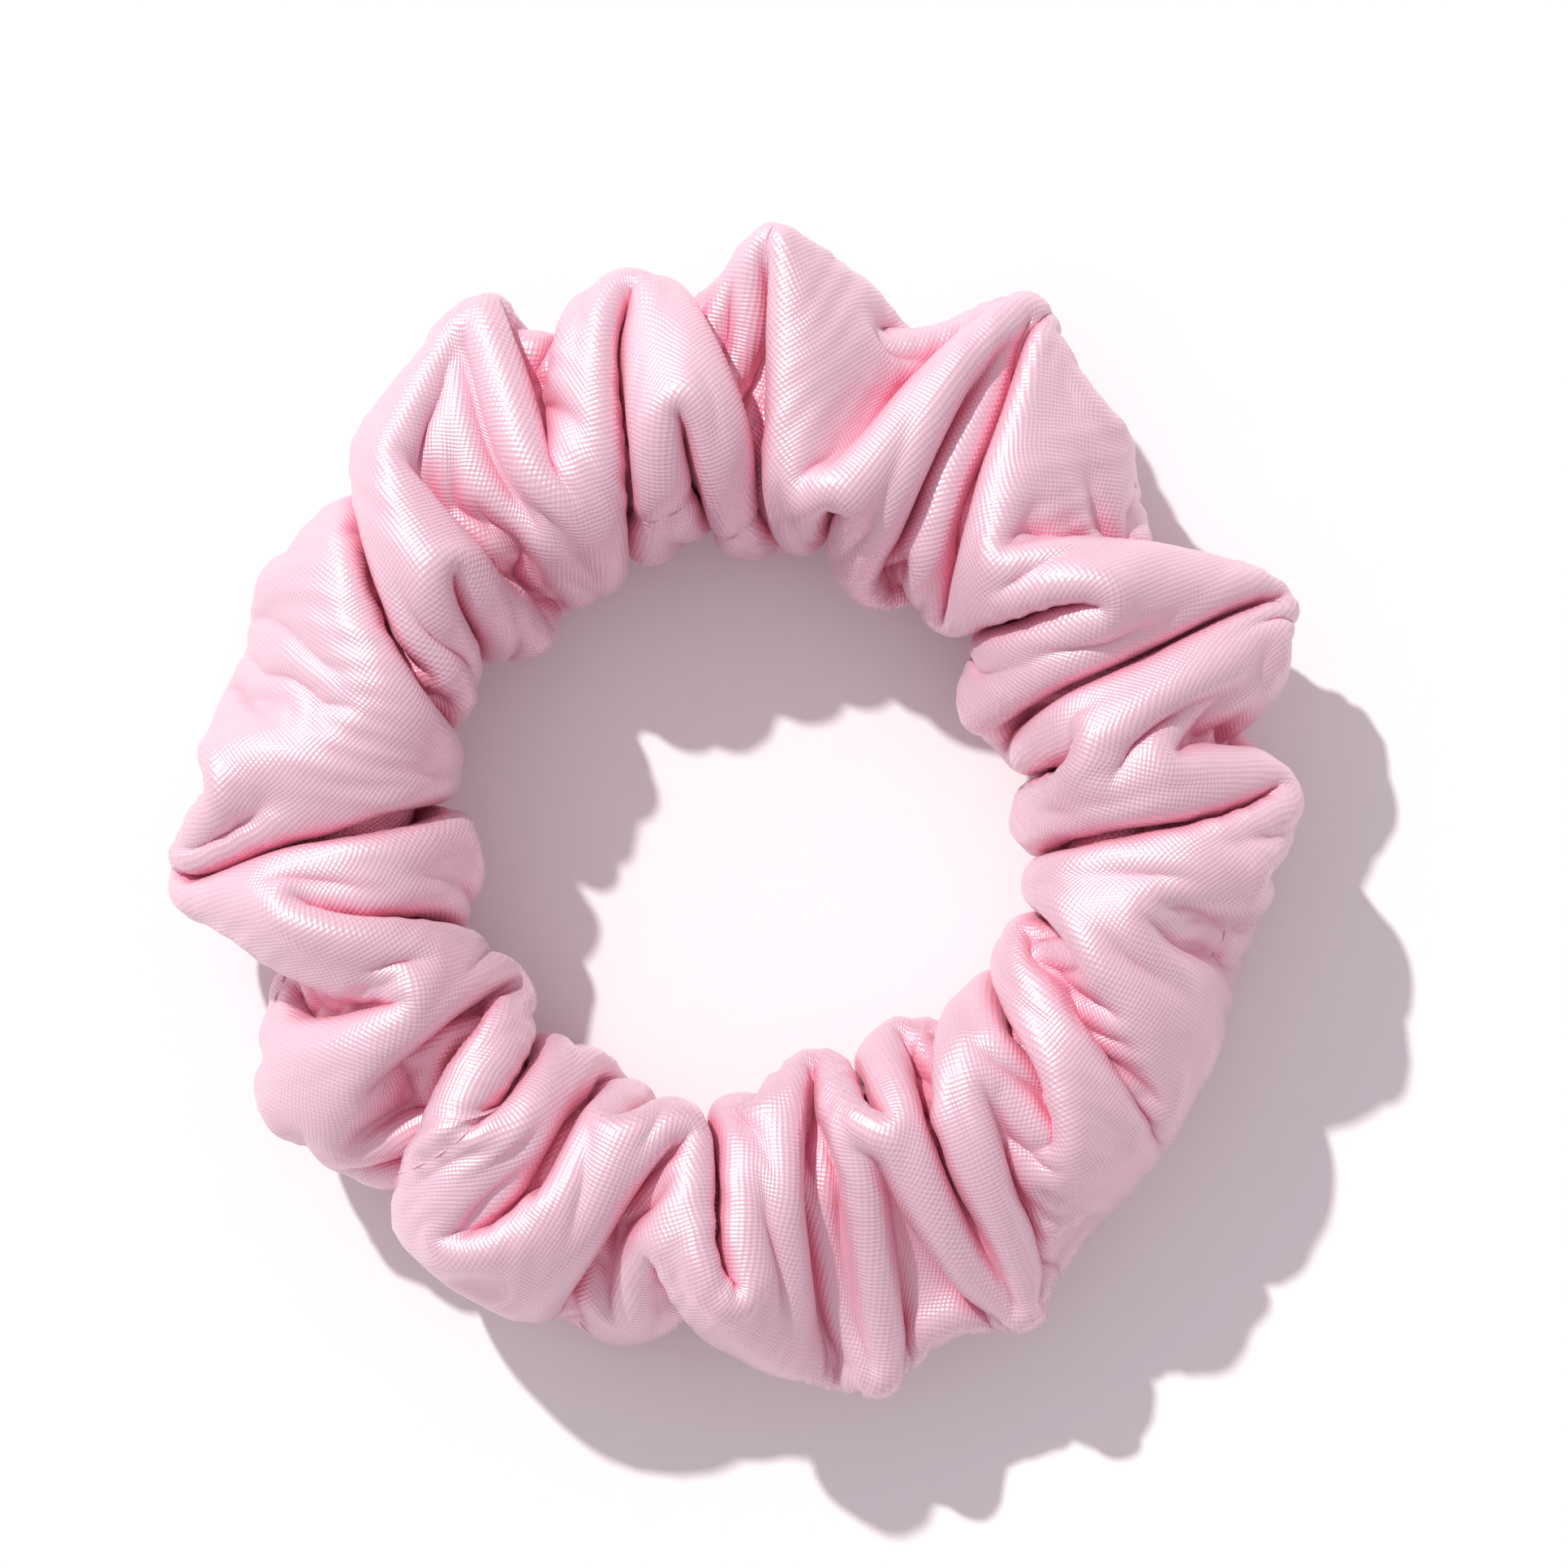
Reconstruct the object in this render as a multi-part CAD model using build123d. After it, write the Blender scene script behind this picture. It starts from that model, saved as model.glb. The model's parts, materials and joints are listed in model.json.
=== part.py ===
"""A gathered satin hair scrunchie lying flat: a sewn cloth sleeve bunched up on a flat elastic band.

The origin is the centre of the ring on the plane it rests on, +Z is up, and sizes are in millimetres.
The sleeve is divided into spans, each its own node, so that the ring can stretch: every span slides along
the ring's tangent from the span before it. The closing seam, where the sleeve's two ends are sewn together,
is where the chain of spans begins and ends.
"""
from build123d import *
import os
from math import cos, pi, radians, sin, tan

# The ring at rest
RING_RADIUS = 41.2  # middle of the hole to the middle of the sleeve's tube
TUBE_HEIGHT = 12.7  # resting plane to the middle of the tube
CLOSING_ANGLE = 229.0  # degrees from +X round to the closing seam
SPAN_COUNT = 18  # spans that the ring is divided into
SPAN_ANGLE = 360.0 / SPAN_COUNT
SPAN_GAP = 0.1  # clearance between one span and the next

# The sleeve's puffs, which are a little fuller towards +Y and -Y than towards +X and -X
PUFF_RADIUS = 13.3
PUFF_RADIUS_SWING = 0.5
PINCH_RADIUS = 10.9  # the valley between two puffs
END_PUFF_RADIUS = 11.9  # the two half puffs beside the closing seam
CLOTH_THICKNESS = 1.0  # the thin cloth with its small folds

# The long seam's allowance, two layers of cloth that stand inwards from the outer lower side
ALLOWANCE_START = 5.2  # outwards from the middle of the tube
ALLOWANCE_BELOW = 6.3  # downwards from the middle of the tube to the allowance's middle
ALLOWANCE_THICKNESS = 0.6

# The elastic: a flat band on edge whose ends lie over each other
ELASTIC_RADIUS = 35.0
ELASTIC_WIDTH = 8.0
ELASTIC_THICKNESS = 1.2
ELASTIC_OVERLAP = 12.0
ELASTIC_LAP_GAP = 0.1
ELASTIC_STEP_ANGLE = 16.0  # the turn over which the outer end steps out over the inner one
ELASTIC_JOIN_ANGLE = CLOSING_ANGLE  # the overlap is beside the closing seam, through which it was sewn

# Sewing thread and its stitches
THREAD_RADIUS = 0.2
THREAD_LIFT = 0.03  # clearance between a seam's thread and the cloth it lies on
LONG_SEAM_OFFSET = 7.0  # outwards from the middle of the tube to the long seam
LONG_SEAM_END_ANGLE = 4.0  # how far the long seam stops short of the closing seam
CLOSING_STITCH_ANGLE = 2.0  # from the closing seam to its row of stitches
CLOSING_STITCH_COUNT = 24
CLOSING_STITCH_SHARE = 0.7  # of the pitch that a stitch covers on the outside
JOIN_STITCH_COUNT = 8
JOIN_STITCH_LENGTH = 9.0
JOIN_STITCH_HEIGHT = 5.6
JOIN_STITCH_GAP = 0.25  # bare band at each turn of the zigzag, where the thread goes through

REACH = 80.0  # beyond everything


def puff_radius(angle):
    """Radius of the puff at an angle round the ring."""
    return PUFF_RADIUS - PUFF_RADIUS_SWING * cos(2 * radians(angle))


def on_ring(shape, angle):
    """Puts a shape made round the X axis on the middle of the tube, with X along the ring."""
    return Rot(0, 0, angle) * Pos(RING_RADIUS, 0, TUBE_HEIGHT) * Rot(0, 0, 90) * shape


def barrel(crown, pinch, half_length):
    """A solid round the X axis that swells from pinch at both ends to crown in the middle."""
    start = (-half_length, pinch)
    end = (half_length, pinch)
    side = ThreePointArc(start, (0, crown), end)
    rest = Polyline(end, (half_length, 0), (-half_length, 0), start)
    return revolve(make_face(side + rest), Axis.X)


def wedge(angle, width, low):
    """The sector of the ring that one span may fill, from height low upwards."""
    half = radians(width / 2)
    apex = SPAN_GAP / 2 / sin(half)
    side = (REACH - apex) * tan(half)
    sector = make_face(Polyline((apex, 0), (REACH, -side), (REACH, side), close=True))
    return Rot(0, 0, angle) * Pos(0, 0, low) * extrude(sector, REACH)


def allowance():
    """A flat strip along the X axis that holds the long seam's two layers."""
    strip = Box(REACH, REACH, ALLOWANCE_THICKNESS, align=(Align.CENTER, Align.MAX, Align.CENTER))
    return Pos(0, -ALLOWANCE_START, -ALLOWANCE_BELOW) * strip


def sleeve_span(angle, width, crown):
    """One span of the sleeve: a hollow puff, open at both ends, flat where it rests."""
    half_length = (RING_RADIUS + crown) * tan(radians(width / 2))
    outside = barrel(crown, PINCH_RADIUS, half_length)
    inside = barrel(crown - CLOTH_THICKNESS, PINCH_RADIUS - CLOTH_THICKNESS, half_length)
    hollow = on_ring(inside, angle) & wedge(angle, 2 * width, CLOTH_THICKNESS)
    shell = on_ring(outside, angle) - hollow
    shell += on_ring(outside & allowance(), angle)
    return shell & wedge(angle, width, 0)


def elastic_face_radius(angle, side):
    """Radius of the band's middle plus half its thickness on one side, at an angle from the overlap's middle."""
    lap = degrees_along(ELASTIC_OVERLAP / 2)
    start_of_step = 360 - lap - ELASTIC_STEP_ANGLE
    share = min(max((angle - start_of_step) / ELASTIC_STEP_ANGLE, 0), 1)
    smooth = share * share * (3 - 2 * share)
    return ELASTIC_RADIUS + smooth * (ELASTIC_THICKNESS + ELASTIC_LAP_GAP) + side * ELASTIC_THICKNESS / 2


def degrees_along(length):
    """The turn that a length of elastic covers."""
    return length / ELASTIC_RADIUS * 180 / pi


def around(radius, angle):
    return (radius * cos(radians(angle)), radius * sin(radians(angle)))


def elastic_band():
    """The band, standing on edge inside the sleeve, one end stepping out to lie over the other."""
    lap = degrees_along(ELASTIC_OVERLAP / 2)
    steps = 60
    turns = [-lap + (360 + 2 * lap) * n / steps for n in range(steps + 1)]
    inner = [around(elastic_face_radius(turn, -1), turn) for turn in turns]
    outer = [around(elastic_face_radius(turn, 1), turn) for turn in turns]
    outline = Spline(*inner) + Line(inner[-1], outer[-1]) + Spline(*outer) + Line(outer[0], inner[0])
    band = extrude(make_face(outline), ELASTIC_WIDTH)
    return Rot(0, 0, ELASTIC_JOIN_ANGLE) * Pos(0, 0, TUBE_HEIGHT - ELASTIC_WIDTH / 2) * band


def rod(start, end):
    """A straight length of thread."""
    path = Line(start, end)
    return sweep(Plane(origin=path @ 0, z_dir=path % 0) * Circle(THREAD_RADIUS), path=path)


def elastic_join_thread():
    """The zigzag of stitches that holds the overlap, on its inner and outer faces."""
    near = ELASTIC_RADIUS - ELASTIC_THICKNESS / 2
    far = near + 2 * ELASTIC_THICKNESS + ELASTIC_LAP_GAP
    pitch = JOIN_STITCH_LENGTH / JOIN_STITCH_COUNT
    stitches = []
    for n in range(JOIN_STITCH_COUNT):
        low_turn = degrees_along(n * pitch - JOIN_STITCH_LENGTH / 2 + JOIN_STITCH_GAP)
        high_turn = degrees_along((n + 1) * pitch - JOIN_STITCH_LENGTH / 2 - JOIN_STITCH_GAP)
        height = (JOIN_STITCH_HEIGHT / 2) * (-1) ** n
        for radius in (near, far):
            stitches.append(rod((*around(radius, low_turn), -height), (*around(radius, high_turn), height)))
    return [Rot(0, 0, ELASTIC_JOIN_ANGLE) * Pos(0, 0, TUBE_HEIGHT) * stitch for stitch in stitches]


def long_seam_thread(side):
    """One of the long seam's two threads, lying along the top or bottom face of the allowance."""
    first = CLOSING_ANGLE + LONG_SEAM_END_ANGLE
    turn = 360 - 2 * LONG_SEAM_END_ANGLE
    lift = ALLOWANCE_THICKNESS / 2 + THREAD_RADIUS + THREAD_LIFT
    section = Plane.XZ * Pos(RING_RADIUS + LONG_SEAM_OFFSET, 0) * Circle(THREAD_RADIUS)
    thread = revolve(section, Axis.Z, turn)
    height = TUBE_HEIGHT - ALLOWANCE_BELOW + side * lift
    return Rot(0, 0, first) * Pos(0, 0, height) * thread


def closing_seam_thread(side):
    """A ring of short stitches round the tube, on its outer or inner face, beside the closing seam."""
    depth = CLOTH_THICKNESS if side < 0 else 0
    radius = PINCH_RADIUS - depth + THREAD_RADIUS * side / 2
    pitch = 2 * pi / CLOSING_STITCH_COUNT
    shift = pitch / 2 if side < 0 else 0
    stitches = []
    for n in range(CLOSING_STITCH_COUNT):
        first = n * pitch + shift
        last = first + pitch * CLOSING_STITCH_SHARE
        ends = [(0, radius * cos(turn), radius * sin(turn)) for turn in (first, last)]
        stitches.append(rod(*ends))
    along = radians(CLOSING_STITCH_ANGLE) * RING_RADIUS
    return [on_ring(Pos(along, 0, 0) * stitch, CLOSING_ANGLE) for stitch in stitches]


def write(name, shape):
    """Writes one node, a single solid or a group of alike ones."""
    if isinstance(shape, list):
        shape = Compound(children=shape)
    export_step(shape, f"parts/{name}.step")


os.makedirs("parts", exist_ok=True)

HALF = SPAN_ANGLE / 2
write("sleeve_end_outer", sleeve_span(CLOSING_ANGLE + HALF / 2, HALF, END_PUFF_RADIUS))
for span in range(1, SPAN_COUNT):
    middle = CLOSING_ANGLE + span * SPAN_ANGLE
    write(f"sleeve_gather_{span:02d}", sleeve_span(middle, SPAN_ANGLE, puff_radius(middle)))
write("sleeve_end_inner", sleeve_span(CLOSING_ANGLE - HALF / 2, HALF, END_PUFF_RADIUS))
write("elastic_band", elastic_band())
write("elastic_join_thread", elastic_join_thread())
write("long_seam_needle_thread", long_seam_thread(1))
write("long_seam_bobbin_thread", long_seam_thread(-1))
write("closing_seam_needle_thread", closing_seam_thread(1))
write("closing_seam_bobbin_thread", closing_seam_thread(-1))
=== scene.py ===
import json
from math import atan2, cos, degrees, hypot, pi, radians, sin

import bpy
import numpy as np
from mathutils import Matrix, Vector

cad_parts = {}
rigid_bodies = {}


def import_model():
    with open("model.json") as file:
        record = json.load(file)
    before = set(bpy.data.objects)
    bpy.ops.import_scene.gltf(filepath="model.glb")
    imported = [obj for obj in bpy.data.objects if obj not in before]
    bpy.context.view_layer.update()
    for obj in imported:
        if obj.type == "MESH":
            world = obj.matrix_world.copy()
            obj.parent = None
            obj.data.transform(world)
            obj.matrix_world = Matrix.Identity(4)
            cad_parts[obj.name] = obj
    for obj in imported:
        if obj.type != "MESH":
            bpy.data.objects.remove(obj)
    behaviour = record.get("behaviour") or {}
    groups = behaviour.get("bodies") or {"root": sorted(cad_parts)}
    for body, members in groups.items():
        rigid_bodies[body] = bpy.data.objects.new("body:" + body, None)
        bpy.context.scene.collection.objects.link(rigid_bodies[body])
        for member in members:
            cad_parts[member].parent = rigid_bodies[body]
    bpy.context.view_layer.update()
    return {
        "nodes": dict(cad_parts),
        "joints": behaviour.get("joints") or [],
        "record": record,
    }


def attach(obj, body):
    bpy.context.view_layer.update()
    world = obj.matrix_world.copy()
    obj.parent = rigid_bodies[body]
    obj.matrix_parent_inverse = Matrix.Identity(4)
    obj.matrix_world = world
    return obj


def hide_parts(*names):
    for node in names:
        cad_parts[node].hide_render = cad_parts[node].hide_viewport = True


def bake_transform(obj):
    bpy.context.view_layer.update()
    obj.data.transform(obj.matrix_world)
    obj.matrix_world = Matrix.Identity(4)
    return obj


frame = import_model()

# Shapes are worked out in millimetres, and become metres in new_mesh.
MM = 0.001
TAU = 2 * pi

# ---- what the frame gives

joints = frame["joints"]
mounts = {mount["name"]: mount for mount in frame["record"]["mounts"]}
CHAIN = [joints[0]["parent"]] + [joint["child"] for joint in joints]
SPANS = len(joints)
SPAN_ANGLE = 360 / SPANS
first_axis = joints[0]["axis"]
CLOSING_ANGLE = (degrees(atan2(first_axis[1], first_axis[0])) - 90 - SPAN_ANGLE / 2) % 360
RING_RADIUS = hypot(*mounts["rest_face"]["pos_m"][:2]) / MM
TUBE_HEIGHT = mounts["hair_loop"]["pos_m"][2] / MM

# ---- the cloth

CLOTH_LENGTH = 440.0
CLOTH_ROUND = 67.0
COLUMNS = 304
ROWS = 48
COLUMNS_SHOWN = 912
ROWS_SHOWN = 144
COLUMN_STEP = CLOTH_LENGTH / COLUMNS_SHOWN
ROW_STEP = CLOTH_ROUND / ROWS_SHOWN
PLY = 0.3  # thickness shown at the cloth's cut ends
LOFT = 1.05  # how far the shown face stands outside the simulated one, to fill the folds

# Each valley between two puffs: its angle at the ring's outer edge and at its inner edge, counted
# anticlockwise from +X. The first is the closing seam. Puffs lean and alternate wide outside, wide inside.
VALLEYS = (
    (227, 243), (249, 249), (257, 258), (264, 268), (280, 288), (287, 295), (295, 302), (318, 311),
    (331, 318), (341, 329), (352, 353), (360, 367), (388, 383), (404, 411), (422, 419), (448, 431),
    (456, 462), (473, 485), (492, 498), (513, 511), (531, 536), (558, 551), (583, 570),
)
PUFFS = len(VALLEYS)
FULLER = {11: 1.15, 14: 2.0, 20: 1.15, 21: 1.15}  # puffs that hold more cloth than their width asks for


def smooth(share):
    """0 to 1 with level ends."""
    share = np.clip(share, 0, 1)
    return share * share * (3 - 2 * share)


def bell(distance, width):
    return np.exp(-((distance / width) ** 2))


def ring_point(radius, angle, height):
    return Vector((radius * cos(radians(angle)), radius * sin(radians(angle)), height))


def cloth_at_valleys(edge, reach):
    """Where each valley lies along the cloth, as a share of it, and its angle, on one edge of the ring."""
    angle = np.array([valley[edge] for valley in VALLEYS] + [VALLEYS[0][edge] + 360.0])
    arc = np.radians(np.diff(angle)) * reach
    weight = arc ** SPREAD * np.array([FULLER.get(puff, 1.0) for puff in range(PUFFS)])
    cloth = arc + (CLOTH_LENGTH - arc.sum()) * weight / weight.sum()
    mark = np.concatenate([[0], np.cumsum(cloth)])
    return mark / mark[-1], np.radians(angle)


# The solver, in steps of no particular time: forces are millimetres a step.
SEED = 11
SPREAD = 0.9  # 0 gives every puff the same spare cloth, 1 gives it by width
EDGE_REACH = 12.0  # middle of the tube to the ring's outer and inner edges
START_RADIUS = 56.0
END_RADIUS = RING_RADIUS - 2.2  # the folds stand further out than in
START_DEPTH = 3.0
START_NOISE = 0.15
NOISE_ROUNDS = 8  # of spreading
TWIST = 1.3
TWIST_WAVES = (2, 9)  # fewest whole waves round the ring, and one more than the most
VALLEY_WIDTH = 3.0
VALLEY_ROUNDS = 3  # of smoothing along the cloth
VALLEY_DROP = 1.8  # from the drive outwards at a puff's middle to the drive inwards in a valley
VALLEY_EASE = 1.5  # a valley by a low puff has this times the puff's height of its depth, up to all of it
FULL_PUFF = 20.0  # cloth in a puff of height 1
TALLEST = 1.6
STEPS = 520
GATHER_STEPS = 260
RELEASE_STEPS = 120
PASSES = 6
CONTACT_STEPS = 4  # steps between two searches for cloth that touches
KEPT_SPEED = 0.9
TOP_SPEED = 0.8
PRESSURE = 0.015
DRIVE = 0.06
GUIDE = 0.025
SPINE = 0.04
GRAVITY = 0.004
SHEAR = 0.35
SQUEEZE = 0.8  # stiffness of the cloth against being shortened
GATHER_BENDS = ((2, 0.97, 0.3), (4, 0.97, 0.9))  # rows apart, least share of the flat length, stiffness
GATHER_APART = 3.0  # rows within which points never count as touching
SHARPEN_STEPS = 44
SHARPEN_BENDS = ((2, 0.93, 0.3), (4, 0.85, 0.35))
SHARPEN_APART = 6.0
SHARPEN_PRESSURE = 0.006
PINCH = 0.25
PINCH_WIDTH = 3.0
CLOTH_GAP = 2.4
CLOTH_GIVE = 0.35  # the part of an overlap that one pass clears
CLOTH_SEARCH = 1.5  # how many gaps away the search for touching cloth reaches
FLOOR = 1.0
FLOOR_REACH = 0.05
FLOOR_GRIP = 0.5
# Puffs that stand out from the ring. Each is a spot of cloth, in degrees along the ring and round the tube,
# the place it is drawn to, as an angle, a distance from the axis and a height, and how widely and how hard.
PEAKS = (
    ((441, 35), (446.5, 55.0, 19.0), 2.4, 0.10),
    ((479, 15), (477.0, 53.0, 14.0), 5.0, 0.020),
    ((417, 15), (420.0, 54.5, 14.0), 5.0, 0.020),
    ((379, 15), (381.5, 54.0, 14.0), 5.0, 0.020),
    ((284, 10), (284.0, 54.0, 12.0), 5.0, 0.020),
    ((299, 10), (299.5, 53.0, 12.0), 5.0, 0.020),
    ((544, 10), (546.0, 51.5, 13.0), 5.0, 0.020),
)
CORE_INSET = 3.6  # the elastic's middle, inwards from the tube's
CORE_RADIUS = 3.0
CORE_HEIGHT = 5.0


def face_normals(cloth):
    """The outward direction at each point of a closed grid."""
    along = np.roll(cloth, -1, 0) - np.roll(cloth, 1, 0)
    around = np.roll(cloth, -1, 1) - np.roll(cloth, 1, 1)
    normal = np.cross(along, around)
    return normal / (np.linalg.norm(normal, axis=2, keepdims=True) + 1e-9)


def push_off_elastic(points, radius):
    """Keeps the cloth outside the elastic, an oval ring."""
    out = np.hypot(points[:, 0], points[:, 1])
    across = (out - radius) / CORE_RADIUS
    up = (points[:, 2] - TUBE_HEIGHT) / CORE_HEIGHT
    depth = np.sqrt(across * across + up * up) + 1e-9
    push = np.where(depth < 1, (1 / depth - 1) / 2, 0)
    points[:, :2] *= (1 + across * push * CORE_RADIUS / out)[:, None]
    points[:, 2] += up * push * CORE_HEIGHT


def pull(points, pairs, rest, longer, shorter):
    """Moves each pair of points towards its rest length, by one share if too long, another if too short."""
    first, second = pairs
    apart = points[second] - points[first]
    length = np.sqrt(np.einsum("ij,ij->i", apart, apart)) + 1e-9
    off = (length - rest) / length
    off *= np.where(off > 0, longer, shorter) / 2
    apart *= off[:, None]
    points[first] += apart
    points[second] -= apart


def push_apart(points, pairs, gap):
    """Keeps the cloth's layers a gap apart."""
    first, second = pairs
    apart = points[first] - points[second]
    square = np.einsum("ij,ij->i", apart, apart)
    touching = square < gap * gap
    first, second, apart = first[touching], second[touching], apart[touching]
    length = np.sqrt(square[touching]) + 1e-9
    apart *= ((gap - length) / length * CLOTH_GIVE)[:, None]
    for axis in range(3):
        points[:, axis] += np.bincount(first, apart[:, axis], len(points))
        points[:, axis] -= np.bincount(second, apart[:, axis], len(points))


def pairs_in_cells(points, size):
    """Pairs of points in the same or neighbouring cells of that size, each pair once."""
    cell = ((points - points.min(0)) / size + 2).astype(np.int64)
    wide, high = cell[:, 1].max() + 3, cell[:, 2].max() + 3
    key = (cell[:, 0] * wide + cell[:, 1]) * high + cell[:, 2]
    order = np.argsort(key, kind="stable")
    key = key[order]
    place = np.arange(len(key))
    firsts, seconds = [], []
    for x, y in ((0, 0), (0, 1), (1, -1), (1, 0), (1, 1)):
        base = key + (x * wide + y) * high
        start = place + 1 if (x, y) == (0, 0) else np.searchsorted(key, base - 1, "left")
        count = np.maximum(np.searchsorted(key, base + 1, "right") - start, 0)
        first = np.repeat(place, count)
        run = np.arange(len(first)) - np.repeat(np.cumsum(count) - count, count)
        firsts.append(order[first])
        seconds.append(order[np.repeat(start, count) + run])
    return np.concatenate(firsts), np.concatenate(seconds)


class Cloth:
    """A closed tube of cloth on a grid of columns along its length and rows round it."""

    def __init__(self, grid, bends, apart_in_cloth):
        self.columns, self.rows = grid.shape[:2]
        self.points = grid.reshape(-1, 3).copy()
        self.speed = np.zeros_like(self.points)
        self.apart_in_cloth = apart_in_cloth
        self.age = 0
        self.springs = []
        self.add_springs(bends)

    def grid(self):
        return self.points.reshape(self.columns, self.rows, 3)

    def add_springs(self, bends):
        """Stretch, shear and bending. The closing seam pinches the cloth, so the rows are shorter there."""
        column_step, row_step = CLOTH_LENGTH / self.columns, CLOTH_ROUND / self.rows
        column = np.arange(self.columns)
        to_seam = np.minimum(column, self.columns - column) * column_step
        row_rest = row_step * (1 - PINCH * np.exp(-((to_seam / PINCH_WIDTH) ** 2)))
        self.join(1, 0, column_step, 1.0, SQUEEZE)
        self.join(0, 1, row_rest, 1.0, SQUEEZE)
        for way in (1, -1):
            self.join(1, way, hypot(column_step, row_step), SHEAR, SHEAR)
        for span, least, stiffness in bends:
            self.join(span, 0, span * column_step * least, 0.0, stiffness)
            self.join(0, span, span * row_step * least, 0.0, stiffness)

    def join(self, across, along, rest, longer, shorter):
        """Springs between all points that far apart in the cloth. The rest length can differ by column."""
        for pairs in self.pairs_between(across, along):
            own_rest = rest[pairs[0] // self.rows] if np.ndim(rest) else rest
            self.springs.append((pairs, own_rest, longer, shorter))

    def pairs_between(self, across, along):
        """Pairs of points that far apart in the cloth, in two sets, with no point in two pairs of a set."""
        column, row = np.meshgrid(np.arange(self.columns), np.arange(self.rows), indexing="ij")
        first = column * self.rows + row
        second = (column + across) % self.columns * self.rows + (row + along) % self.rows
        even = (column // across if across else row // along) % 2 == 0
        return [(first[chosen], second[chosen]) for chosen in (even, ~even)]

    def close_pairs(self, reach):
        """Pairs of points nearer than reach that aren't near each other in the cloth."""
        first, second = pairs_in_cells(self.points, reach)
        apart = self.points[first] - self.points[second]
        near = np.einsum("ij,ij->i", apart, apart) < reach * reach
        first, second = first[near], second[near]
        across = np.abs(first // self.rows - second // self.rows)
        along = np.abs(first % self.rows - second % self.rows)
        across = np.minimum(across, self.columns - across)
        along = np.minimum(along, self.rows - along)
        far = across * across + along * along > self.apart_in_cloth ** 2
        return first[far], second[far]

    def hold_middle(self, radius):
        """Draws the middle of each column towards a ring of that radius."""
        grid = self.grid()
        middle = grid.mean(1)
        out = np.hypot(middle[:, 0], middle[:, 1])
        grid[..., :2] += (middle[:, :2] * ((radius - out) / out * SPINE)[:, None])[:, None, :]
        grid[..., 2] += ((TUBE_HEIGHT - middle[:, 2]) * SPINE)[:, None]

    def step(self, radius, push, steer):
        """One step with the tube's middle held to a ring of that radius and the cloth pushed outwards."""
        self.speed *= KEPT_SPEED
        before = self.points.copy()
        self.points += self.speed
        grid = self.grid()
        grid += face_normals(grid) * push
        grid[..., 2] -= GRAVITY
        if self.age % CONTACT_STEPS == 0:
            self.touching = self.close_pairs(CLOTH_GAP * CLOTH_SEARCH)
        self.age += 1
        for turn in range(PASSES):
            self.hold_middle(radius)
            steer(grid)
            for pairs, rest, longer, shorter in self.springs:
                pull(self.points, pairs, rest, longer, shorter)
            if turn % 2:
                push_apart(self.points, self.touching, CLOTH_GAP)
            push_off_elastic(self.points, radius - CORE_INSET)
            np.maximum(self.points[:, 2], FLOOR, out=self.points[:, 2])
        self.speed = self.points - before
        self.slow_down()

    def slow_down(self):
        """Friction on the table, and a top speed that keeps layers from passing through each other."""
        self.speed[self.points[:, 2] < FLOOR + FLOOR_REACH, :2] *= FLOOR_GRIP
        pace = np.sqrt(np.einsum("ij,ij->i", self.speed, self.speed))
        fast = pace > TOP_SPEED
        self.speed[fast] *= (TOP_SPEED / pace[fast])[:, None]


def spread_noise(random):
    """Random bumps a few grid points wide."""
    noise = random.normal(0, 1, (COLUMNS, ROWS))
    for _ in range(NOISE_ROUNDS):
        beside = sum(np.roll(noise, shift, axis) for shift in (-1, 1) for axis in (0, 1))
        noise = (noise + beside) / 5
    return noise / noise.std()


def twist_along(share, random):
    """How far the tube is turned about its own middle, a slow random wave along the cloth."""
    waves = np.arange(*TWIST_WAVES)
    phase = random.uniform(0, TAU, len(waves))
    size = random.uniform(0.4, 1.0, len(waves)) / np.sqrt(waves)
    twist = (size * np.sin(np.outer(share, waves) * TAU + phase)).sum(1)
    return twist * TWIST / np.abs(twist).max()


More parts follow.
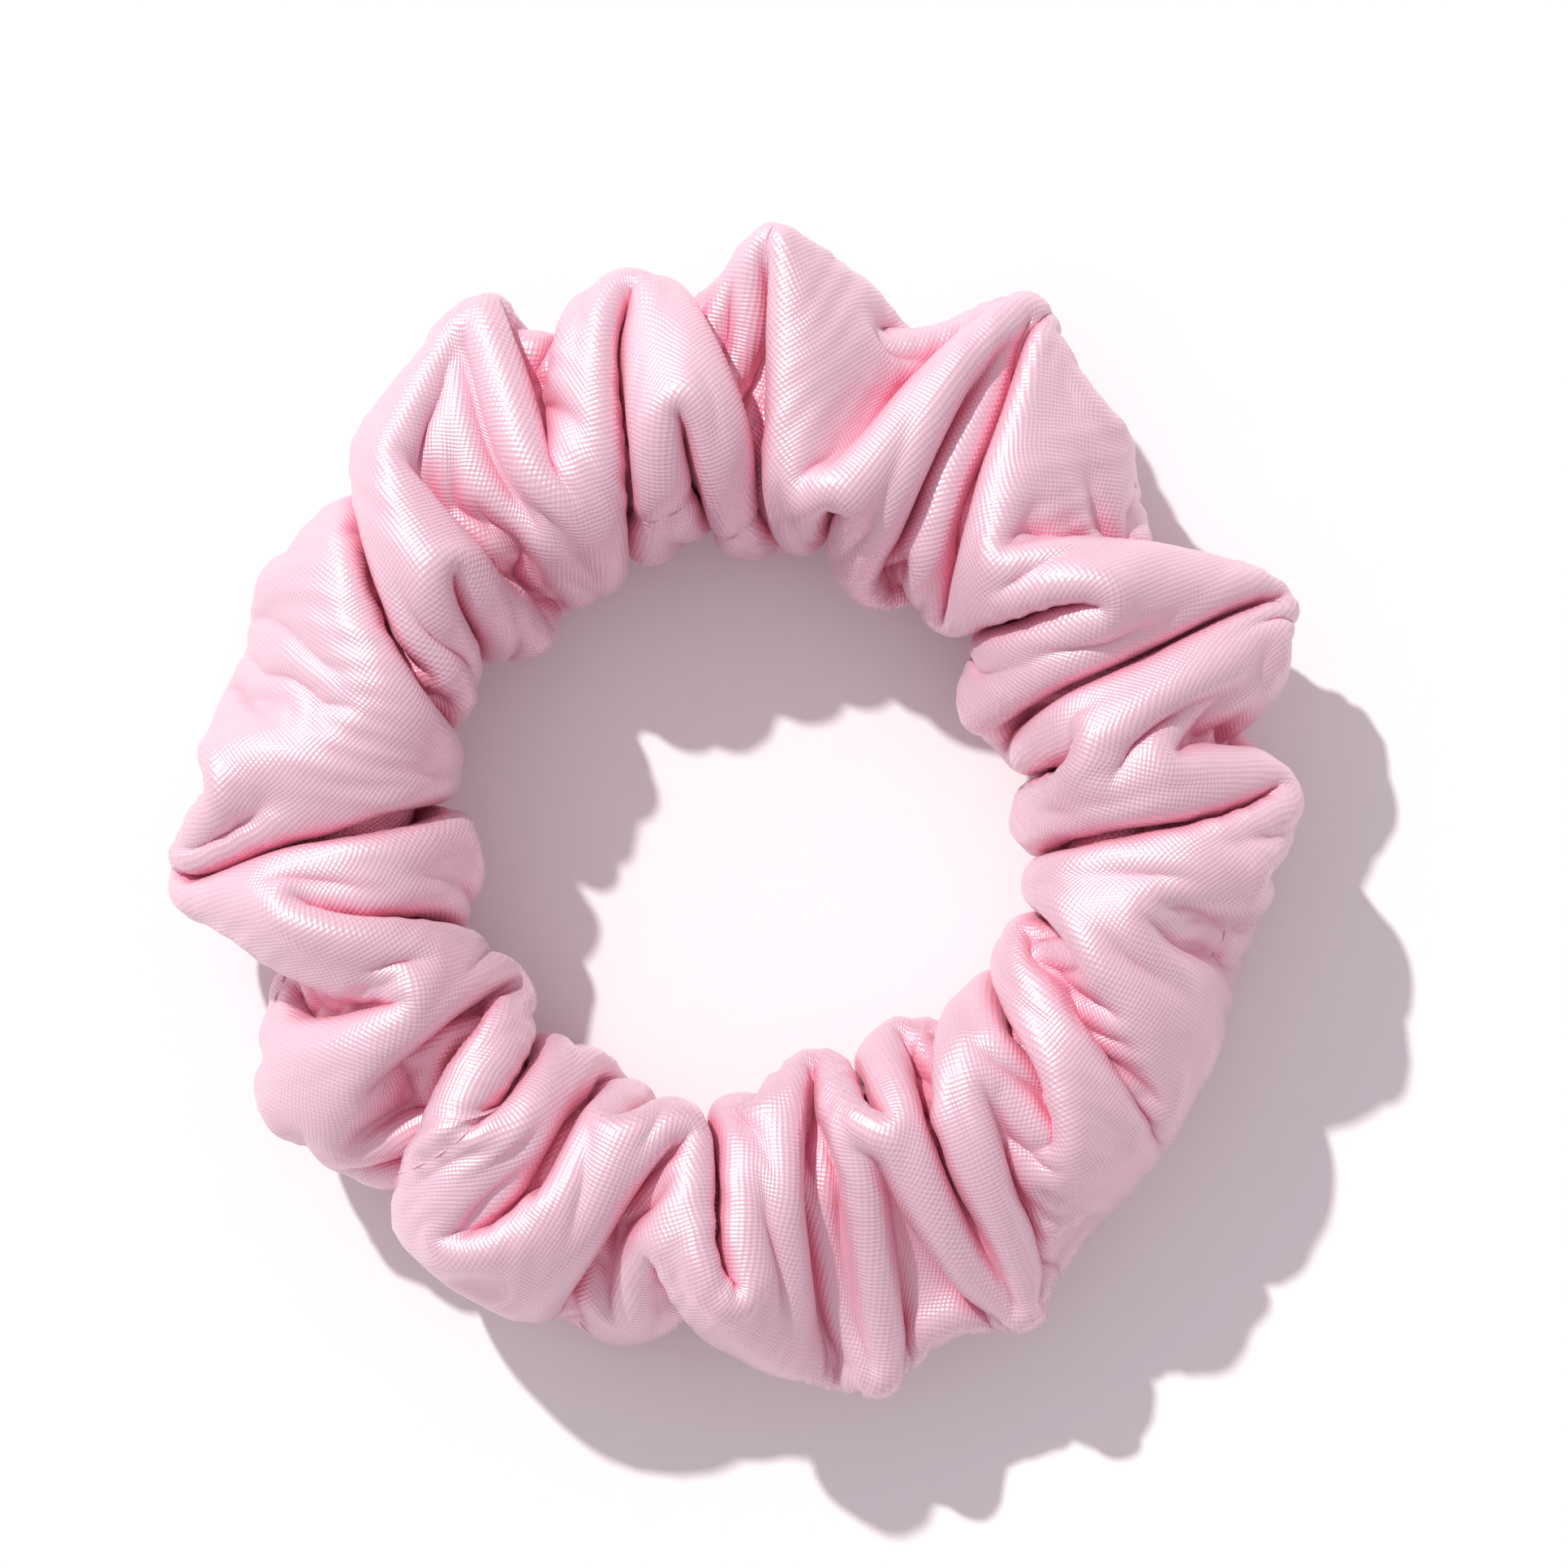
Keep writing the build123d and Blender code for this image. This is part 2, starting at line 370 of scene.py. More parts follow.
class Plan:
    """Where each point of the cloth should end up round the ring, and how far in or out it is driven."""

    def __init__(self):
        share = np.arange(COLUMNS) / COLUMNS
        self.turn = np.arange(ROWS) / ROWS * TAU
        self.outside = ((1 + np.cos(self.turn)) / 2)[None, :]
        marks, angles = zip(
            cloth_at_valleys(0, END_RADIUS + EDGE_REACH),
            cloth_at_valleys(1, END_RADIUS - EDGE_REACH),
        )
        self.angle = self.mixed(*(np.interp(share, *edge) for edge in zip(marks, angles)))
        self.bump = self.puffs(share, marks)
        random = np.random.default_rng(SEED)
        self.noise = spread_noise(random)
        self.twist = twist_along(share, random)

    def mixed(self, outer, inner):
        """A value along the cloth that changes from its outer to its inner edge."""
        return self.mixed_rows(outer[:, None], inner[:, None])

    def mixed_rows(self, outer, inner):
        return outer * self.outside + inner * (1 - self.outside)

    def puffs(self, share, marks):
        """The cloth's drive: outwards in the puffs, by their size, and inwards in the valleys."""
        count = np.arange(PUFFS + 1)
        puff = self.mixed(*(np.interp(share, mark, count) for mark in marks))
        sizes = [np.diff(mark) * CLOTH_LENGTH for mark in marks]
        tallness = [np.minimum(size / FULL_PUFF, TALLEST) for size in sizes]
        middle = count[:-1] + 0.5
        height = self.mixed_rows(*(np.interp(puff, middle, tall, period=PUFFS) for tall in tallness))
        number = np.clip(puff.astype(int), 0, PUFFS - 1)
        away = np.abs(puff - np.round(puff)) * self.mixed_rows(sizes[0][number], sizes[1][number])
        bump = 1 - VALLEY_DROP * np.exp(-((away / VALLEY_WIDTH) ** 2))
        bump = np.where(bump > 0, bump * height, bump * np.minimum(height * VALLEY_EASE, 1))
        for _ in range(VALLEY_ROUNDS):
            bump = (bump * 2 + np.roll(bump, 1, 0) + np.roll(bump, -1, 0)) / 4
        return bump

    def start(self):
        """The cloth as a wide ring, already puckered where its puffs will be."""
        radius = CLOTH_ROUND / TAU + START_DEPTH * self.bump + START_NOISE * self.noise
        turned = self.turn[None, :] + self.twist[:, None]
        out = START_RADIUS + radius * np.cos(turned)
        up = TUBE_HEIGHT + radius * np.sin(turned)
        return np.stack([out * np.cos(self.angle), out * np.sin(self.angle), up], 2)


def resampled(grid, axis, count):
    """The same closed surface with that many points along one axis, by a cubic spline."""
    size = grid.shape[axis]
    place = np.arange(count) * size / count
    cell = place.astype(int)
    t = (place - cell).reshape([-1 if each == axis else 1 for each in range(3)])
    weights = ((1 - t) ** 3, 3 * t ** 3 - 6 * t ** 2 + 4, 3 * t * (1 + t - t * t) + 1, t ** 3)
    near = [np.take(grid, (cell + shift) % size, axis) for shift in (-1, 0, 1, 2)]
    return sum(weight * point for weight, point in zip(weights, near)) / 6


def puller(plan, columns, rows):
    """Draws the peaks' spots of cloth, on a grid of that size, to their places."""
    pulls = []
    for (along, turn), (angle, out, up), reach, pull in PEAKS:
        row = round(turn / 360 * ROWS)
        column = np.abs(plan.angle[:, row] - radians(along)).argmin()
        across = (np.arange(columns) / columns - column / COLUMNS) * CLOTH_LENGTH
        around = ((np.arange(rows) / rows - row / ROWS + 0.5) % 1 - 0.5) * CLOTH_ROUND
        weight = np.outer(bell(across, reach), bell(around, reach))[..., None] * pull
        pulls.append((np.array(ring_point(out, angle, up)), weight))

    def draw_up(grid, strength=1.0):
        for place, weight in pulls:
            grid += (place - grid) * weight * strength

    return draw_up


def gather(plan):
    """Cloth simulation: the wide ring draws in to its real size, and the cloth buckles into folds."""
    cloth = Cloth(plan.start(), GATHER_BENDS, GATHER_APART)
    ring_cos, ring_sin = np.cos(plan.angle), np.sin(plan.angle)
    draw_up = puller(plan, COLUMNS, ROWS)
    for step in range(STEPS):
        radius = START_RADIUS + (END_RADIUS - START_RADIUS) * smooth(step / GATHER_STEPS)
        held = 1 - smooth((step - GATHER_STEPS) / RELEASE_STEPS)
        drawn = smooth((step - GATHER_STEPS / 2) / GATHER_STEPS)

        def steer(grid):
            aside = (grid[..., 0] * ring_sin - grid[..., 1] * ring_cos) * GUIDE * held
            grid[..., 0] -= aside * ring_sin
            grid[..., 1] += aside * ring_cos
            draw_up(grid, drawn)

        cloth.step(radius, (PRESSURE + DRIVE * held * plan.bump)[..., None], steer)
    return cloth.grid()


def sharpen(grid, plan):
    """The gathered cloth goes on settling on a grid twice as fine, where it can fold more sharply."""
    cloth = Cloth(resampled(resampled(grid, 0, COLUMNS * 2), 1, ROWS * 2), SHARPEN_BENDS, SHARPEN_APART)
    draw_up = puller(plan, COLUMNS * 2, ROWS * 2)
    for _ in range(SHARPEN_STEPS):
        cloth.step(END_RADIUS, SHARPEN_PRESSURE, draw_up)
    return cloth.grid()


# ---- the shown cloth

RIPPLE_WAVES = 14
RIPPLE_COUNT = (55, 120)  # pleats along the whole cloth
RIPPLE_LEANS = (-3, 4)  # waves round the tube: least, and one more than the most
RIPPLE_HEIGHT = 0.12
RIPPLE_SOFTNESS = 0.04
PATCH_WAVES = 9
PATCH_COUNT = (3, 24)
PATCH_LEANS = (-2, 3)
SEAM_GROOVE = 0.4
SEAM_WIDTH = 0.9
SEAM_UNDER = -25.0  # the long seam's place round the tube in degrees: 0 outside, 90 on top, 180 inside
SEAM_TURN = 230.0  # how far it winds round the tube where the tube is twisted over
SEAM_CROSSING = (443.0, 452.0)
CLOSING_RIDGE = 0.55
CLOSING_RIDGE_PLACE = 1.1  # from the closing seam's line to the middle of its ridge
CLOSING_RIDGE_WIDTH = 0.7
CLOSING_DIMPLE = 0.3
CLOSING_STITCHES = 24
CLOSING_STITCH_PLACE = 2.2
CLOSING_STITCH_WIDTH = 0.6
CLOSING_HELD = 4.0  # cloth on each side of the closing seam that stays with it
FLOOR_LEVEL = 0.15  # the cloth's underside, with room for a stitch


def softened(grid, times):
    for _ in range(times):
        beside = sum(np.roll(grid, shift, axis) for shift in (-1, 1) for axis in (0, 1))
        grid = (grid * 2 + beside) / 6
    return grid


def random_waves(random, counts, leans, number):
    """A random pattern on the shown grid: waves with that many crests along and around the cloth."""
    along = np.arange(COLUMNS_SHOWN)[:, None] / COLUMNS_SHOWN * TAU
    around = np.arange(ROWS_SHOWN)[None, :] / ROWS_SHOWN * TAU
    total = np.zeros((COLUMNS_SHOWN, ROWS_SHOWN))
    for _ in range(number):
        count, lean = random.integers(*counts), random.integers(*leans)
        total += np.sin(along * count + around * lean + random.uniform(0, TAU))
    return total / np.sqrt(number / 2)


def ripples():
    """Fine soft-edged pleats that run round the tube, in patches."""
    random = np.random.default_rng(SEED)
    pleats = random_waves(random, RIPPLE_COUNT, RIPPLE_LEANS, RIPPLE_WAVES)
    patches = random_waves(random, PATCH_COUNT, PATCH_LEANS, PATCH_WAVES)
    crests = 1 - np.sqrt(pleats * pleats + RIPPLE_SOFTNESS)
    return crests * smooth(patches / 2 + 0.5) * RIPPLE_HEIGHT


class Sleeve:
    """The finished cloth on a fine grid, and where everything sewn to it goes."""

    def __init__(self, simulated, plan):
        middle_line = np.degrees(plan.angle).mean(1)
        share = np.arange(COLUMNS_SHOWN + 1) * COLUMNS / COLUMNS_SHOWN
        self.angle = np.interp(share, np.arange(COLUMNS + 1), [*middle_line, middle_line[0] + 360])
        self.along = np.arange(COLUMNS_SHOWN) * COLUMN_STEP
        self.around = np.arange(ROWS_SHOWN) * ROW_STEP
        self.edges, self.share = self.shares()
        points = resampled(resampled(simulated, 0, COLUMNS_SHOWN), 1, ROWS_SHOWN)
        points += softened(face_normals(points), 3) * LOFT
        self.normals = face_normals(points)
        points += self.normals * self.relief()[..., None]
        np.maximum(points[..., 2], FLOOR_LEVEL, out=points[..., 2])
        self.outer = points
        self.normals = face_normals(points)
        self.inner = points - softened(self.normals, 2) * PLY

    def shares(self):
        """Each span's first column, and how many spans in each column lies: whole at those columns."""
        edges = np.searchsorted(self.angle, self.angle[0] + np.arange(SPANS + 1) * SPAN_ANGLE - 1e-6)
        held = round(CLOSING_HELD / COLUMN_STEP)
        anchors = [0, held, *edges[1:-1], COLUMNS_SHOWN - held, COLUMNS_SHOWN]
        return edges, np.interp(self.angle, self.angle[anchors], [0, *range(SPANS), SPANS, SPANS])

    def seam_place(self, angle):
        """The long seam's place round the cloth, in millimetres, at an angle round the ring."""
        start, end = SEAM_CROSSING
        crossed = smooth((angle - start) / (end - start)) * SEAM_TURN
        settled = smooth((angle - end) / (self.angle[-1] - end)) * (360 - SEAM_TURN)
        return (SEAM_UNDER + crossed + settled) / 360 * CLOTH_ROUND

    def relief(self):
        """How far each point is lifted, for the ripples and the seams."""
        place = self.seam_place(self.angle[:-1])
        steepness = np.hypot(1, np.gradient(place, COLUMN_STEP))
        apart = (self.around[None, :] - place[:, None] + CLOTH_ROUND / 2) % CLOTH_ROUND - CLOTH_ROUND / 2
        groove = bell(apart / steepness[:, None], SEAM_WIDTH) * -SEAM_GROOVE
        ridge = bell(self.along - CLOSING_RIDGE_PLACE, CLOSING_RIDGE_WIDTH) * CLOSING_RIDGE
        dimples = (1 + np.cos(self.around / CLOTH_ROUND * TAU * CLOSING_STITCHES)) / 2
        row = bell(self.along - CLOSING_STITCH_PLACE, CLOSING_STITCH_WIDTH)
        return ripples() + groove + ridge[:, None] - np.outer(row, dimples) * CLOSING_DIMPLE

    def at(self, along, around, lift):
        """Points that far above the cloth, and the outward direction there."""
        column, row = along / COLUMN_STEP, around / ROW_STEP
        low_column, low_row = np.floor(column).astype(int), np.floor(row).astype(int)
        a, b = (column - low_column)[..., None], (row - low_row)[..., None]

        def sampled_row(grid, row):
            before, after = (grid[(low_column + step) % COLUMNS_SHOWN, row % ROWS_SHOWN] for step in (0, 1))
            return before * (1 - a) + after * a

        def sampled(grid):
            return sampled_row(grid, low_row) * (1 - b) + sampled_row(grid, low_row + 1) * b

        normal = sampled(self.normals)
        return sampled(self.outer) + normal * lift, normal


def new_mesh(name, points, faces, material, normals=None, uv=None):
    """A mesh object from points in millimetres."""
    mesh = bpy.data.meshes.new(name)
    mesh.from_pydata((points.reshape(-1, 3) * MM).tolist(), [], faces)
    mesh.polygons.foreach_set("use_smooth", np.ones(len(mesh.polygons), bool))
    if uv is not None:
        mesh.uv_layers.new(name="cloth").data.foreach_set("uv", uv.astype(np.float32).ravel())
    mesh.materials.append(material)
    mesh.validate()
    if normals is not None:
        mesh.normals_split_custom_set_from_vertices(normals.tolist())
    made = bpy.data.objects.new(name, mesh)
    bpy.context.scene.collection.objects.link(made)
    return made


def ride_span(piece, share):
    """Bakes the piece's placement into its points; the piece does not follow the bodies. share: not used.
    """
    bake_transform(piece)


def grid_faces(columns, rows, first=0):
    """Faces of a tube of that many columns of points, closed round each column."""
    column, row = np.meshgrid(np.arange(columns - 1), np.arange(rows), indexing="ij")
    here, beside = column * rows, (row + 1) % rows
    corners = here + row, here + rows + row, here + rows + beside, here + beside
    return np.stack(corners, -1).reshape(-1, 4) + first


def wall_faces(columns):
    """Faces of a tube with a wall: its outside, its inside, and a rim at each end."""
    side = columns * ROWS_SHOWN
    row = np.arange(ROWS_SHOWN)
    beside = (row + 1) % ROWS_SHOWN
    last = side - ROWS_SHOWN
    return np.concatenate([
        grid_faces(columns, ROWS_SHOWN),
        grid_faces(columns, ROWS_SHOWN, side)[:, ::-1],
        np.stack([row, beside, beside + side, row + side], 1),
        np.stack([row + last, row + last + side, beside + last + side, beside + last], 1),
    ])


def cloth_uv(columns, faces):
    """Each face corner's place on the flat cloth; the last row's faces run on past the first row."""
    along = columns[faces % (len(columns) * ROWS_SHOWN) // ROWS_SHOWN] * COLUMN_STEP
    turn = faces % ROWS_SHOWN
    wraps = (turn.max(1) - turn.min(1) > 1)[:, None] & (turn == 0)
    around = (turn + wraps * ROWS_SHOWN) * ROW_STEP
    return np.stack([along, around], -1).reshape(-1, 2)


def sleeve_piece(sleeve, span, material):
    """One span of the cloth, as a tube with a wall."""
    columns = np.arange(sleeve.edges[span], sleeve.edges[span + 1] + 1)
    wrapped = columns % COLUMNS_SHOWN
    faces = wall_faces(len(columns))
    normals = sleeve.normals[wrapped].reshape(-1, 3)
    piece = new_mesh(
        f"satin_sleeve_{span + 1:02d}",
        np.concatenate([sleeve.outer[wrapped], sleeve.inner[wrapped]]),
        faces.tolist(),
        material,
        normals=np.concatenate([normals, -normals]),
        uv=cloth_uv(columns, faces),
    )
    share = sleeve.share[columns] - span
    ride_span(piece, np.tile(np.repeat(share, ROWS_SHOWN), 2))
    return piece


# ---- threads

THREAD_RADIUS = 0.12
THREAD_SIDES = 8
THREAD_POINTS = 9
THREAD_END = 0.22  # radians round a half circle that each end leaves off
LONG_STITCH = 2.4
STITCH_SHARE = 0.8  # of the pitch that a stitch covers
STITCH_ARCH = 0.26
STITCH_SHIFT = 0.1  # of the pitch: how far on the closing stitches and the long seam's bobbin ones start
NEEDLE_LIFT = 0.04


def thread_tubes(paths, up, radius):
    """A closed round-ended tube along each path, with up a direction beside the path at each point."""
    ahead = np.gradient(paths, axis=1)
    ahead /= np.linalg.norm(ahead, axis=2, keepdims=True)
    side = np.cross(ahead, up)
    side /= np.linalg.norm(side, axis=2, keepdims=True)
    lifted = np.cross(side, ahead)
    count, length = paths.shape[:2]
    taper = np.sin(np.linspace(THREAD_END, pi - THREAD_END, length)) ** 0.3
    turn = np.arange(THREAD_SIDES) / THREAD_SIDES * TAU
    round_off = side[:, :, None] * np.cos(turn)[:, None] + lifted[:, :, None] * np.sin(turn)[:, None]
    tube = paths[:, :, None] + round_off * (radius * taper)[None, :, None, None]
    ends = paths[:, (0, -1)] + ahead[:, (0, -1)] * np.array([-1, 1])[None, :, None] * radius * 0.5
    return np.concatenate([tube.reshape(count, -1, 3), ends], 1)


def thread_mesh(name, paths, up, radius, material):
    """One object of all the stitches that follow the paths."""
    points = thread_tubes(paths, up, radius)
    count, size = points.shape[:2]
    length = paths.shape[1]
    last = (length - 1) * THREAD_SIDES
    around = range(THREAD_SIDES)
    caps = [[size - 2, (side + 1) % THREAD_SIDES, side] for side in around]
    caps += [[size - 1, side + last, (side + 1) % THREAD_SIDES + last] for side in around]
    stitch = grid_faces(length, THREAD_SIDES)[:, ::-1].tolist() + caps
    faces = [[corner + start * size for corner in face] for start in range(count) for face in stitch]
    piece = new_mesh(name, points, faces, material)
    return piece


def stitch_arch():
    """The height of a stitch along its length: through the cloth at both ends."""
    return STITCH_ARCH * (np.sin(np.linspace(0, pi, THREAD_POINTS)) ** 0.6 - 1)


def stitch_heights():
    """Each thread's height above the cloth along a stitch: the needle's outside it, the bobbin's inside."""
    return {"needle": NEEDLE_LIFT + stitch_arch(), "bobbin": -PLY - THREAD_RADIUS - stitch_arch()}


def long_seam_threads(sleeve, span, material):
    """The running stitches of the long seam in one span, outside and inside the cloth."""
    place = sleeve.seam_place(sleeve.angle)
    along = np.arange(COLUMNS_SHOWN + 1) * COLUMN_STEP
    travelled = np.concatenate([[0], np.cumsum(np.hypot(np.diff(along), np.diff(place)))])
    stitches = int(travelled[-1] / LONG_STITCH)
    start = np.arange(stitches) / stitches * travelled[-1]
    path = start[:, None] + np.linspace(0, LONG_STITCH * STITCH_SHARE, THREAD_POINTS)
    share = np.interp(path.mean(1), travelled, sleeve.share)
    path = path[np.minimum(share.astype(int), SPANS - 1) == span]
    for side, height in stitch_heights().items():
        shifted = path if side == "needle" else path + LONG_STITCH * STITCH_SHIFT
        where = np.interp(shifted, travelled, along), np.interp(shifted, travelled, place)
        points, normal = sleeve.at(*where, height[None, :, None])
        piece = thread_mesh(f"long_seam_{side}_{span + 1:02d}", points, normal, THREAD_RADIUS, material)
        share = np.interp(shifted, travelled, sleeve.share) - span
        weights = np.concatenate([np.repeat(share, THREAD_SIDES, 1), share[:, (0, -1)]], 1)
        ride_span(piece, weights.ravel())
        if span == 0:
            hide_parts(f"long_seam_{side}_thread")


def closing_seam_threads(sleeve, material):
    """The ring of stitches that closes the sleeve, outside and inside the cloth."""
    pitch = CLOTH_ROUND / CLOSING_STITCHES
    start = np.arange(CLOSING_STITCHES) * pitch
    around = start[:, None] + np.linspace(0, pitch * STITCH_SHARE, THREAD_POINTS) + pitch * STITCH_SHIFT
    along = np.full_like(around, CLOSING_STITCH_PLACE)
    for side, height in stitch_heights().items():
        points, normal = sleeve.at(along, around, height[None, :, None])
        piece = thread_mesh(f"closing_seam_{side}", points, normal, THREAD_RADIUS, material)
        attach(piece, CHAIN[0])
        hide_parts(f"closing_seam_{side}_thread")


# ---- the elastic

ELASTIC_RADIUS = 35.0
ELASTIC_HEIGHT = 8.0
ELASTIC_THICKNESS = 1.2
ELASTIC_LAP = 12.0
HALF_LAP = degrees(ELASTIC_LAP / ELASTIC_RADIUS) / 2  # as an angle
ELASTIC_LAP_GAP = 0.1
ELASTIC_STEP_ANGLE = 16.0
ELASTIC_RIBS = 7
ELASTIC_RIB_DEPTH = 0.16
ELASTIC_SECTION_POINTS = 72
ELASTIC_SQUARENESS = (0.25, 0.6)  # across and up: 1 is an ellipse, near 0 a rectangle
ELASTIC_COLUMNS = 24
JOIN_STITCHES = 8
JOIN_LENGTH = 9.0
JOIN_HEIGHT = 5.6
JOIN_GAP = 0.25


def elastic_section():
    """The band's rounded outline, ribbed on both faces: how far out, and how far up."""
    turn = np.arange(ELASTIC_SECTION_POINTS) / ELASTIC_SECTION_POINTS * TAU
    ellipse = np.cos(turn), np.sin(turn)
    out, up = (np.sign(side) * np.abs(side) ** power for side, power in zip(ellipse, ELASTIC_SQUARENESS))
    ribs = np.abs(np.cos(up * pi / 2 * ELASTIC_RIBS)) * ELASTIC_RIB_DEPTH
    return out * (ELASTIC_THICKNESS / 2 - ribs), up * ELASTIC_HEIGHT / 2


def elastic_lift(angle):
    """How far the band's middle stands out at an angle from the closing seam: its end lies on its start."""
    climb = (angle - (360 - HALF_LAP - ELASTIC_STEP_ANGLE)) / ELASTIC_STEP_ANGLE
    return smooth(climb) * (ELASTIC_THICKNESS + ELASTIC_LAP_GAP)


def elastic_share(angle):
    """How many spans in an angle from the closing seam lies; the lapped ends stay with the closing seam."""
    marks = np.arange(SPANS + 1) * SPAN_ANGLE
    marks[[0, -1]] += HALF_LAP, -HALF_LAP
    return np.interp(angle, marks, np.arange(SPANS + 1))


def elastic_piece(span, material):
    """One span of the band."""
    start = -HALF_LAP if span == 0 else span * SPAN_ANGLE
    end = 360 + HALF_LAP if span == SPANS - 1 else (span + 1) * SPAN_ANGLE
    angle = np.linspace(start, end, ELASTIC_COLUMNS)
    out, up = elastic_section()
    radius = (ELASTIC_RADIUS + elastic_lift(angle))[:, None] + out
    turn = np.radians(angle + CLOSING_ANGLE)[:, None]
    height = np.broadcast_to(TUBE_HEIGHT + up, radius.shape)
    points = np.stack([radius * np.cos(turn), radius * np.sin(turn), height], -1)
    size = ELASTIC_SECTION_POINTS
    first_end = list(range(size))
    last_end = [corner + (ELASTIC_COLUMNS - 1) * size for corner in reversed(first_end)]
    faces = grid_faces(ELASTIC_COLUMNS, size).tolist() + [first_end, last_end]
    piece = new_mesh(f"elastic_band_{span + 1:02d}", points, faces, material)
    ride_span(piece, np.repeat(elastic_share(angle) - span, size))
    return piece


def elastic_join_thread(material):
    """The zigzag through the lapped ends, on both faces of the band."""
    pitch = JOIN_LENGTH / JOIN_STITCHES
    paths, ups = [], []
    for stitch in range(JOIN_STITCHES):
        ends = stitch * pitch - JOIN_LENGTH / 2 + np.array([JOIN_GAP, pitch - JOIN_GAP])
        along = np.linspace(*ends, THREAD_POINTS)
        height = np.linspace(-1, 1, THREAD_POINTS) * JOIN_HEIGHT / 2 * (-1) ** stitch
        turn = np.radians(np.degrees(along / ELASTIC_RADIUS) + CLOSING_ANGLE)
        out = np.stack([np.cos(turn), np.sin(turn), np.zeros(THREAD_POINTS)], 1)
        faces = -ELASTIC_THICKNESS / 2, ELASTIC_THICKNESS * 3 / 2 + ELASTIC_LAP_GAP
        for face, way in zip(faces, (-1, 1)):
            radius = ELASTIC_RADIUS + face + way * (THREAD_RADIUS + stitch_arch())
            paths.append(out * radius[:, None] + np.array([0, 0, 1]) * (TUBE_HEIGHT + height)[:, None])
            ups.append(out * way)
    paths, ups = np.array(paths), np.array(ups)
    piece = thread_mesh("elastic_join_thread_zigzag", paths, ups, THREAD_RADIUS, material)
    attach(piece, CHAIN[0])
    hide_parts("elastic_join_thread")


# ---- materials

FLOAT_SPACING = 0.37  # between neighbouring floats of the satin, in millimetres


class Nodes:
    """Short ways to add nodes to one material."""

    def __init__(self, name):
        self.material = bpy.data.materials.new(name)
        self.material.use_nodes = True
        self.tree = self.material.node_tree
        self.shader = self.tree.nodes["Principled BSDF"]

    def put(self, socket, value):
        if isinstance(value, bpy.types.NodeSocket):
            self.tree.links.new(value, socket)
        else:
            socket.default_value = value

    def add(self, kind, inputs, output=0, **settings):
        node = self.tree.nodes.new(kind)
        for name, value in settings.items():
            setattr(node, name, value)
        for name, value in inputs.items():
            self.put(node.inputs[name], value)
        return node.outputs[output]

    def math(self, operation, *values):
        return self.add("ShaderNodeMath", dict(enumerate(values)), operation=operation)

    def colour(self, factor, low, high):
        return self.add("ShaderNodeMix", {0: factor, 6: low, 7: high}, 2, data_type="RGBA")

    def blend(self, factor, low, high):
        return self.add("ShaderNodeMapRange", {0: factor, 3: low, 4: high})

    def noise(self, vector, scale, detail=2.0):
        return self.add("ShaderNodeTexNoise", {"Vector": vector, "Scale": scale, "Detail": detail})

    def bands(self, vector, scale, distortion, way):
        inputs = {"Vector": vector, "Scale": scale, "Distortion": distortion}
        return self.add("ShaderNodeTexWave", inputs, 1, bands_direction=way)

    def bump(self, height, distance, strength=1.0, normal=None):
        inputs = {"Height": height, "Distance": distance, "Strength": strength}
        if normal is not None:
            inputs["Normal"] = normal
        return self.add("ShaderNodeBump", inputs)

    def finish(self, **inputs):
        for name, value in inputs.items():
            self.put(self.shader.inputs[name.replace("_", " ")], value)
        return self.material


